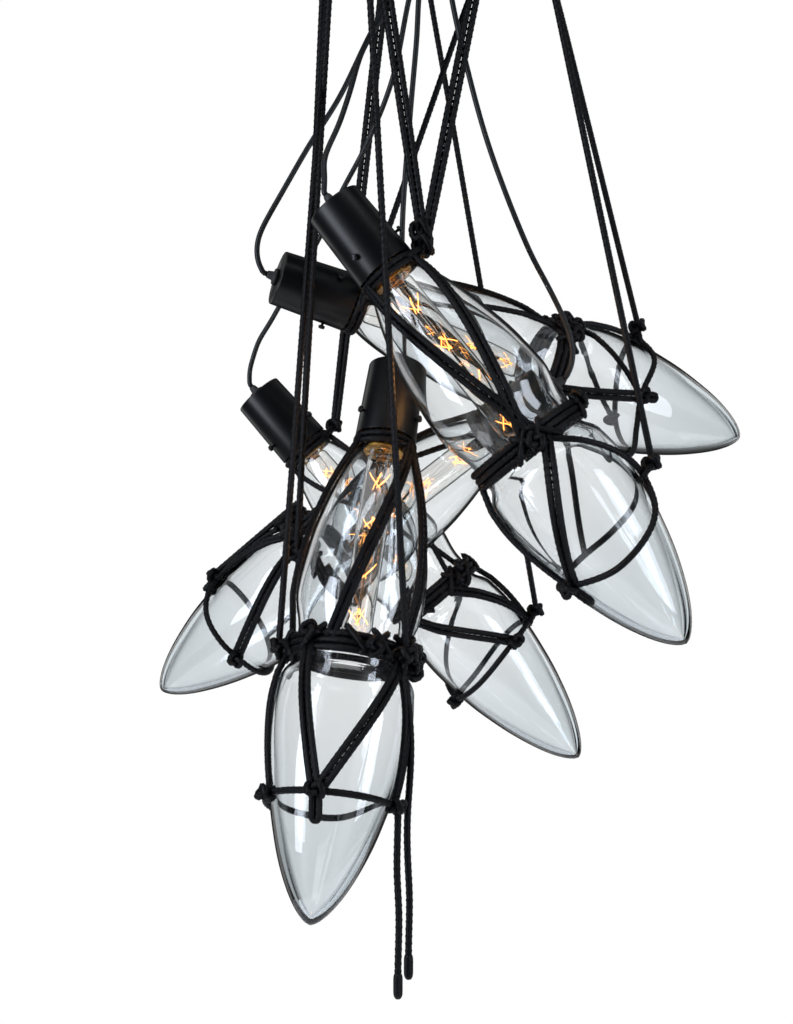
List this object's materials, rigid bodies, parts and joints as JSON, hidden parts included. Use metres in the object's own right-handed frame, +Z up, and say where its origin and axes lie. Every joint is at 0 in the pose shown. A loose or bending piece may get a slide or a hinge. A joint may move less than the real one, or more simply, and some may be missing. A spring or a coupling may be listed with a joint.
{
  "type": "pendant light",
  "caption": "Cluster pendant light: blown-glass vessels with long tubular lamps, bound and hung in black rope under a round ceiling canopy.",
  "frame": {"origin": "middle of the ceiling bracket's top face, which lies against the ceiling", "axes": "+Z up towards the ceiling, -Y towards the viewer, +X to the viewer's right"},
  "size_m": [0.6405, 0.4753, 1.0608],
  "materials": {
    "black_lacquer": "satin black lacquer on spun steel",
    "lampholder": "porcelain core in a thin brass sleeve",
    "lamp_base": "brass-tinted aluminium lamp base with a glass stem",
    "lamp_glass": "thin clear lamp glass",
    "vessel_glass": "clear hand-blown glass",
    "relief_rubber": "moulded black rubber",
    "cable_sleeve": "smooth dark grey cable sleeve",
    "black_rope": "braided black rope",
    "zinc_steel": "zinc-plated steel strap",
    "nylon": "natural nylon"
  },
  "bodies": {
    "ceiling_fitting": {"canopy": "black_lacquer", "ceiling_bracket": "zinc_steel", "terminal_block": "nylon"},
    "pendant_1": {"glass_vessel_1": "vessel_glass", "cap_1": "black_lacquer", "lampholder_1": "lampholder", "lamp_glass_1": "lamp_glass", "lamp_mount_1": "lamp_base", "strain_relief_1": "relief_rubber", "power_cable_1": "cable_sleeve", "rope_net_1": "black_rope", "waist_binding_1": "black_rope", "neck_rope_1": "black_rope", "girdle_rope_1": "black_rope"},
    "pendant_2": {"glass_vessel_2": "vessel_glass", "cap_2": "black_lacquer", "lampholder_2": "lampholder", "lamp_glass_2": "lamp_glass", "lamp_mount_2": "lamp_base", "strain_relief_2": "relief_rubber", "power_cable_2": "cable_sleeve", "rope_net_2": "black_rope", "waist_binding_2": "black_rope", "neck_rope_2": "black_rope", "girdle_rope_2": "black_rope"},
    "pendant_3": {"glass_vessel_3": "vessel_glass", "cap_3": "black_lacquer", "lampholder_3": "lampholder", "lamp_glass_3": "lamp_glass", "lamp_mount_3": "lamp_base", "strain_relief_3": "relief_rubber", "power_cable_3": "cable_sleeve", "rope_net_3": "black_rope", "waist_binding_3": "black_rope", "neck_rope_3": "black_rope", "girdle_rope_3": "black_rope"},
    "pendant_4": {"glass_vessel_4": "vessel_glass", "cap_4": "black_lacquer", "lampholder_4": "lampholder", "lamp_glass_4": "lamp_glass", "lamp_mount_4": "lamp_base", "strain_relief_4": "relief_rubber", "power_cable_4": "cable_sleeve", "rope_net_4": "black_rope", "waist_binding_4": "black_rope", "left_rope_4": "black_rope", "right_rope_4": "black_rope", "waist_tail_4": "black_rope", "girdle_tail_4": "black_rope"},
    "pendant_5": {"glass_vessel_5": "vessel_glass", "cap_5": "black_lacquer", "lampholder_5": "lampholder", "lamp_glass_5": "lamp_glass", "lamp_mount_5": "lamp_base", "strain_relief_5": "relief_rubber", "power_cable_5": "cable_sleeve", "rope_net_5": "black_rope", "waist_binding_5": "black_rope", "front_rope_5": "black_rope", "rear_rope_5": "black_rope"}
  },
  "joints": [
    {"name": "pendant_1_swing", "type": "hinge", "parent": "ceiling_fitting", "child": "pendant_1", "pos_m": [-0.05705, -0.08803, -0.03], "axis": [-1, 0, 0], "range_deg": [0, 1]},
    {"name": "pendant_2_swing", "type": "hinge", "parent": "ceiling_fitting", "child": "pendant_2", "pos_m": [0.063, 0.06195, -0.03], "axis": [1, 0, 0], "range_deg": [0, 1.5]},
    {"name": "pendant_3_swing", "type": "hinge", "parent": "ceiling_fitting", "child": "pendant_3", "pos_m": [-0.04498, 0.14997, -0.03], "axis": [1, 0, 0], "range_deg": [0, 2]},
    {"name": "pendant_4_swing", "type": "hinge", "parent": "ceiling_fitting", "child": "pendant_4", "pos_m": [-0.084, -0.00595, -0.03], "axis": [-0.1426, 0.9898, 0], "range_deg": [0, 1.5]},
    {"name": "pendant_5_swing", "type": "hinge", "parent": "ceiling_fitting", "child": "pendant_5", "pos_m": [-0.07193, -0.05005, -0.03], "axis": [0.3681, -0.9298, 0], "range_deg": [0, 1.5]}
  ]
}
